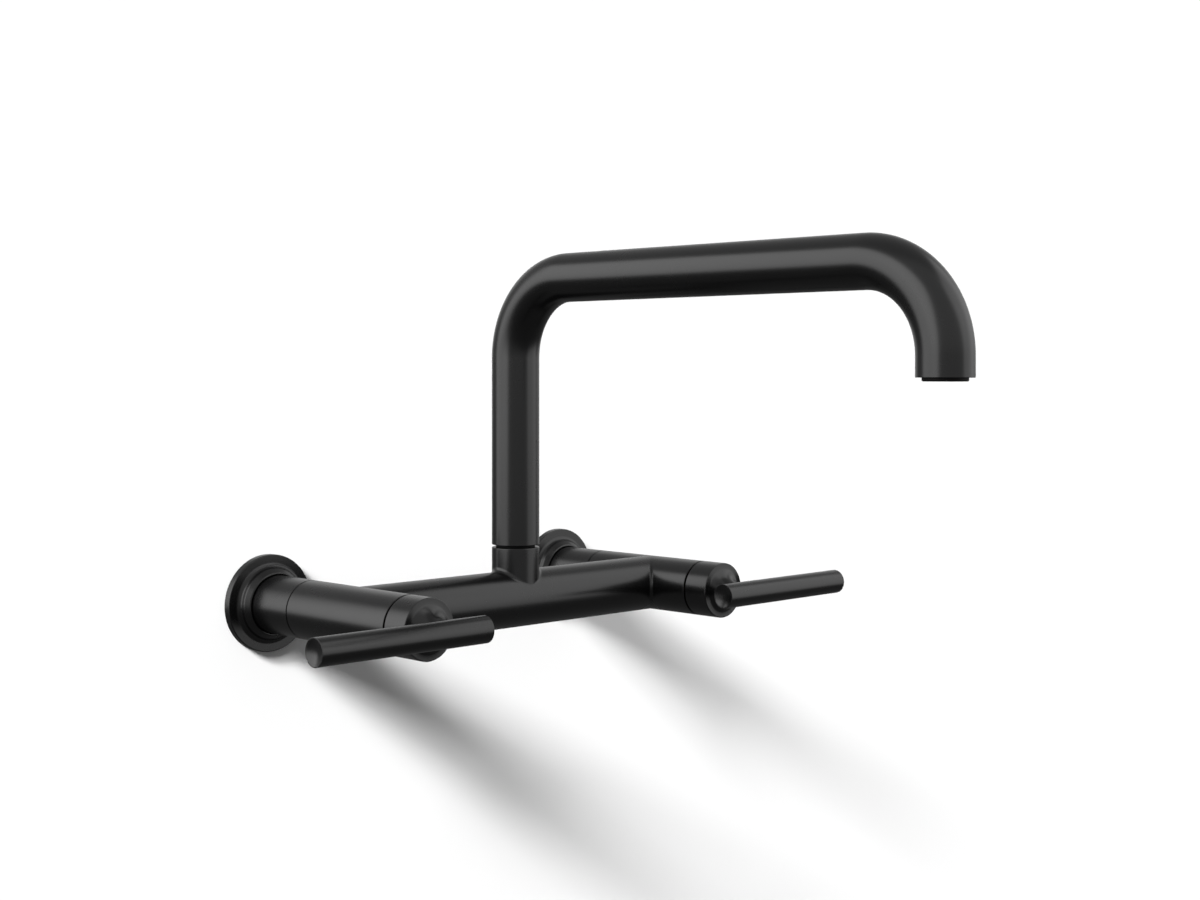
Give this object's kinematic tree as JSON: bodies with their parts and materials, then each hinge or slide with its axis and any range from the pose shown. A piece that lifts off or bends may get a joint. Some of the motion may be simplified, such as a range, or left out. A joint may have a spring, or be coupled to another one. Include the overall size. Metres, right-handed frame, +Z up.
{
  "type": "bridge faucet",
  "caption": "Wall-mounted bridge faucet in satin black with lever handles and a swivelling gooseneck spout.",
  "frame": {"origin": "on the wall plane, midway between the two inlet bores", "axes": "+Z up, +Y into the wall, +X to the right of a user who faces the faucet; the spout reaches out along -Y"},
  "size_m": [0.355, 0.3562, 0.2028],
  "materials": {
    "satin_black": "satin black coating on brass",
    "brass": "machined",
    "steel": "plain",
    "rubber": "matte",
    "foam": "closed-cell foam",
    "ceramic": "lapped ceramic",
    "black_plastic": "matte",
    "aerator_plastic": "satin",
    "grey_plastic": "matte"
  },
  "bodies": {
    "faucet_body": {"bridge_tube": "satin_black", "spout_socket": "satin_black", "spout_set_screw": "steel", "glide_ring": "black_plastic", "left_escutcheon": "satin_black", "left_escutcheon_gasket": "foam", "left_escutcheon_oring": "rubber", "left_inlet_sleeve": "satin_black", "left_inlet_adapter": "brass", "left_inlet_washer": "rubber", "left_tailpiece": "brass", "left_valve_body": "satin_black", "left_cartridge_housing": "brass", "left_cartridge_seal": "rubber", "left_cartridge_oring": "rubber", "left_fixed_disc": "ceramic", "right_escutcheon": "satin_black", "right_escutcheon_gasket": "foam", "right_escutcheon_oring": "rubber", "right_inlet_sleeve": "satin_black", "right_inlet_adapter": "brass", "right_inlet_washer": "rubber", "right_tailpiece": "brass", "right_valve_body": "satin_black", "right_cartridge_housing": "brass", "right_cartridge_seal": "rubber", "right_cartridge_oring": "rubber", "right_fixed_disc": "ceramic"},
    "spout": {"spout_tube": "satin_black", "spout_shank": "brass", "shank_orings": "rubber", "aerator_housing": "aerator_plastic", "aerator_washer": "rubber", "flow_regulator": "grey_plastic", "aerator_screen": "steel"},
    "left_handle": {"left_moving_disc": "ceramic", "left_cartridge_stem": "brass", "left_stem_orings": "rubber", "left_stem_clip": "steel", "left_handle_hub": "satin_black", "left_hub_set_screw": "steel", "left_lever": "satin_black", "left_lever_stud": "steel"},
    "right_handle": {"right_moving_disc": "ceramic", "right_cartridge_stem": "brass", "right_stem_orings": "rubber", "right_stem_clip": "steel", "right_handle_hub": "satin_black", "right_hub_set_screw": "steel", "right_lever": "satin_black", "right_lever_stud": "steel"}
  },
  "joints": [
    {"name": "spout_swivel", "type": "hinge", "parent": "faucet_body", "child": "spout", "pos_m": [0, -0.078, 0], "axis": [0, 0, 1], "range_deg": [-90, 90]},
    {"name": "left_handle_turn", "type": "hinge", "parent": "faucet_body", "child": "left_handle", "pos_m": [-0.1016, 0, 0], "axis": [0, -1, 0], "range_deg": [0, 90]},
    {"name": "right_handle_turn", "type": "hinge", "parent": "faucet_body", "child": "right_handle", "pos_m": [0.1016, 0, 0], "axis": [0, 1, 0], "range_deg": [0, 90]}
  ]
}
